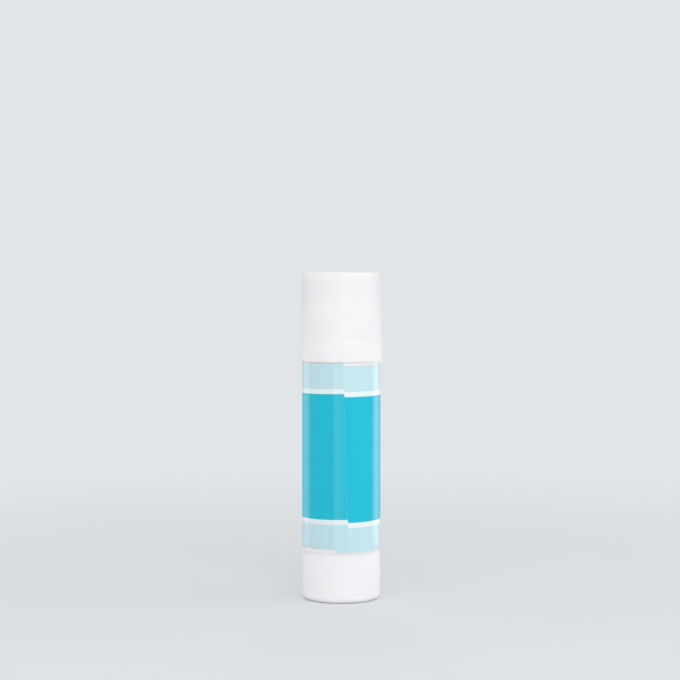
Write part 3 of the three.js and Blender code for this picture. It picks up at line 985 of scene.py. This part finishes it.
# Glue: outline from its hole's end out, down the hole, round the foot, up the side and in over the
# top, which is dished by a parabola and rippled by a few sines
def makeGlue(shape):
    low, high = boxOf("glue")
    foot, top, outer = low[2], high[2], high[0]
    rim = foot + shape["rimLevel"]
    pocketTop = foot + shape["nutPocketTop"]
    holeTop = top - shape["topCover"]
    inner = shape["innerRounding"]
    outline = refined(roundedOutline([
        (0, holeTop),
        (shape["hole"], holeTop, shape["holeRounding"]),
        (shape["hole"], pocketTop, inner),
        (shape["nutPocket"], pocketTop, inner),
        (shape["nutPocket"], foot, inner),
        (shape["foot"], foot, inner),
        (shape["foot"], rim, inner),
        (outer, rim, shape["rimRounding"]),
        (outer, top, shape["edgeRounding"]),
        (0, top),
    ]), shape["step"])
    angles, notch = ribbedAngles(shape["sides"], shape["notchHalf"], shape["notchRamp"], shape["notch"])
    radius, height = outlineTables(outline, angles)
    radius = drawnIn(radius, shape["notch"], notch[None])
    onTop = (outline[:, 1] > top - shape["topDepth"])[:, None]
    inward = np.clip(1 - radius / (outer - shape["edgeRounding"]), 0, 1)
    x = radius * np.cos(angles)
    y = radius * np.sin(angles)
    ripples = 0
    for paceX, paceY, start, share in shape["waves"]:
        ripples = ripples + share * np.sin(paceX * x + paceY * y + start)
    sunk = shape["dish"] * (1 - (1 - inward) ** 2)
    sunk += shape["ripple"] * (1 + ripples) * np.clip(inward / shape["rippleEdge"], 0, 1)
    height = height - sunk * onTop
    return [turnedPart(radius, height, angles)]


addPiece("glue_core", "glue", "carriage", glueWax, makeGlue(glueShape))


# Floor, light and camera

stageShape = {
    "radius": 6.0,  # metres
    "rings": 40,
    "widening": 3,  # power by which the rings widen outwards
    "sides": 96,
    "skin": {"Base Color": (0.805, 0.825, 0.84, 1), "Roughness": 0.9},
    "backdrop": (0.76, 0.785, 0.80, 1),
    "fadeFrom": 0.04,  # metres from the middle between which the backdrop's colour comes up
    "fadeTo": 0.3,
}


# Floor: a flat disc whose rings widen outwards. Far from the object it shows the backdrop's colour.
def makeFloor(shape):
    radius = shape["radius"] * np.linspace(0, 1, shape["rings"])[:, None] ** shape["widening"]
    angles = roundAngles(shape["sides"])
    radius = np.repeat(radius, len(angles), axis=1)
    points = np.stack([radius * np.cos(angles), radius * np.sin(angles), 0 * radius], axis=2)
    index = np.arange(radius.size).reshape(radius.shape)
    beside = np.roll(index, -1, axis=1)
    quads = facesOf(index[1:-1], index[2:], beside[2:], beside[1:-1])
    middle = facesOf(np.zeros(len(angles), int), index[1], beside[1])
    mesh = bpy.data.meshes.new("floor")
    mesh.from_pydata(points.reshape(-1, 3).tolist(), [], quads.tolist() + middle.tolist())
    mesh.update()
    floor = bpy.data.objects.new("floor", mesh)
    bpy.context.scene.collection.objects.link(floor)
    material, tree, shader = newMaterial("paleFloor", shape["skin"])
    place = addNode(tree, "TexCoord").outputs["Object"]
    away = addNode(tree, "VectorMath", {0: place}, operation="LENGTH").outputs["Value"]
    far = ranged(tree, away, 0, 1, shape["fadeFrom"], shape["fadeTo"])
    glow = addNode(tree, "Emission", {"Color": shape["backdrop"], "Strength": 1.0})
    share = mathOf(tree, "MULTIPLY", far, seenRays(tree))
    mixed = addNode(tree, "MixShader", {0: share, 1: shader.outputs[0], 2: glow.outputs[0]})
    output = next(node for node in tree.nodes if node.type == "OUTPUT_MATERIAL")
    tree.links.new(mixed.outputs[0], output.inputs["Surface"])
    mesh.materials.append(material)


# 1 for what the camera, a reflection or a see-through surface looks at, 0 for soft light
def seenRays(tree):
    path = addNode(tree, "LightPath")
    seen = path.outputs["Is Camera Ray"]
    for other in ("Is Glossy Ray", "Is Transmission Ray"):
        seen = mathOf(tree, "MAXIMUM", seen, path.outputs[other])
    return seen


lightShape = {
    "worldStrength": 0.55,
    "worldColour": (1.0, 1.0, 1.0, 1),
    # panels: distance, height and aimed height in metres, the panel's own width and height, and
    # the degrees over which its light spreads
    "overhead": {"away": 0.05, "level": 0.8, "aim": 0.045, "width": 0.5, "height": 0.5, "spread": 180},
    "studio": {"away": 0.6, "level": 0.22, "aim": 0.045, "width": 0.45, "height": 0.3, "spread": 180},
    "edge": {"away": 0.1, "level": 0.034, "aim": 0.034, "width": 0.062, "height": 0.068, "spread": 60},
    # lamps: the panel, degrees round from the front towards +X, and the power in watts
    "lamps": {
        "panelOverhead": ("overhead", 0, 0.5),
        "panelFront": ("studio", 15, 1.08),
        "panelLeft": ("studio", -30, 0.53),
        "panelFarLeft": ("studio", -85, 0.36),
        "panelRight": ("studio", 75, 0.73),
        "panelBack": ("studio", 180, 0.4),
        "edgePanelLeft": ("edge", -118, 0.00167),
        "edgePanelRight": ("edge", 118, 0.00283),
    },
}


def aimAt(item, place, aim):
    item.location = place
    direction = np.array(aim, float) - np.array(place, float)
    yaw = math.atan2(direction[0], direction[1])
    pitch = math.atan2(direction[2], math.hypot(direction[0], direction[1]))
    item.rotation_euler = (math.pi / 2 + pitch, 0, -yaw)


def makeLights(shape):
    for name, (kind, turn, power) in shape["lamps"].items():
        panel = shape[kind]
        lamp = bpy.data.lights.new(name, "AREA")
        lamp.shape = "RECTANGLE"
        lamp.size = panel["width"]
        lamp.size_y = panel["height"]
        lamp.spread = math.radians(panel["spread"])
        lamp.energy = power
        item = bpy.data.objects.new(name, lamp)
        item.visible_camera = False
        bpy.context.scene.collection.objects.link(item)
        angle = math.radians(turn)
        place = (panel["away"] * math.sin(angle), -panel["away"] * math.cos(angle), panel["level"])
        aimAt(item, place, (0, 0, panel["aim"]))
    world = bpy.data.worlds.new("studio")
    bpy.context.scene.world = world
    world.use_nodes = True
    tree = world.node_tree
    tree.nodes.clear()
    soft = addNode(tree, "Background", {"Color": shape["worldColour"], "Strength": shape["worldStrength"]})
    shown = addNode(tree, "Background", {"Color": stageShape["backdrop"], "Strength": 1.0})
    mixed = addNode(tree, "MixShader", {0: seenRays(tree), 1: soft.outputs[0], 2: shown.outputs[0]})
    addNode(tree, "OutputWorld", {"Surface": mixed.outputs[0]})


cameraShape = {
    "distance": 0.4837,  # metres in front of the stick, above the floor and to the right
    "height": 0.0867,
    "aside": -0.00034,
    "pitch": 2.2,  # degrees down
    "focalPixels": 1840.0,  # of the photograph's 680 pixels
    "framePixels": 680.0,
    "sensorWidth": 36.0,
}


def makeCamera(shape):
    camera = bpy.data.cameras.new("camera")
    camera.sensor_width = shape["sensorWidth"]
    camera.lens = shape["focalPixels"] * shape["sensorWidth"] / shape["framePixels"]
    item = bpy.data.objects.new("camera", camera)
    item.location = (shape["aside"], -shape["distance"], shape["height"])
    item.rotation_euler = (math.radians(90 - shape["pitch"]), 0, 0)
    bpy.context.scene.collection.objects.link(item)
    bpy.context.scene.camera = item


makeFloor(stageShape)
makeLights(lightShape)
makeCamera(cameraShape)
bpy.context.scene.view_settings.view_transform = "Standard"
print("floor, lights and camera set")
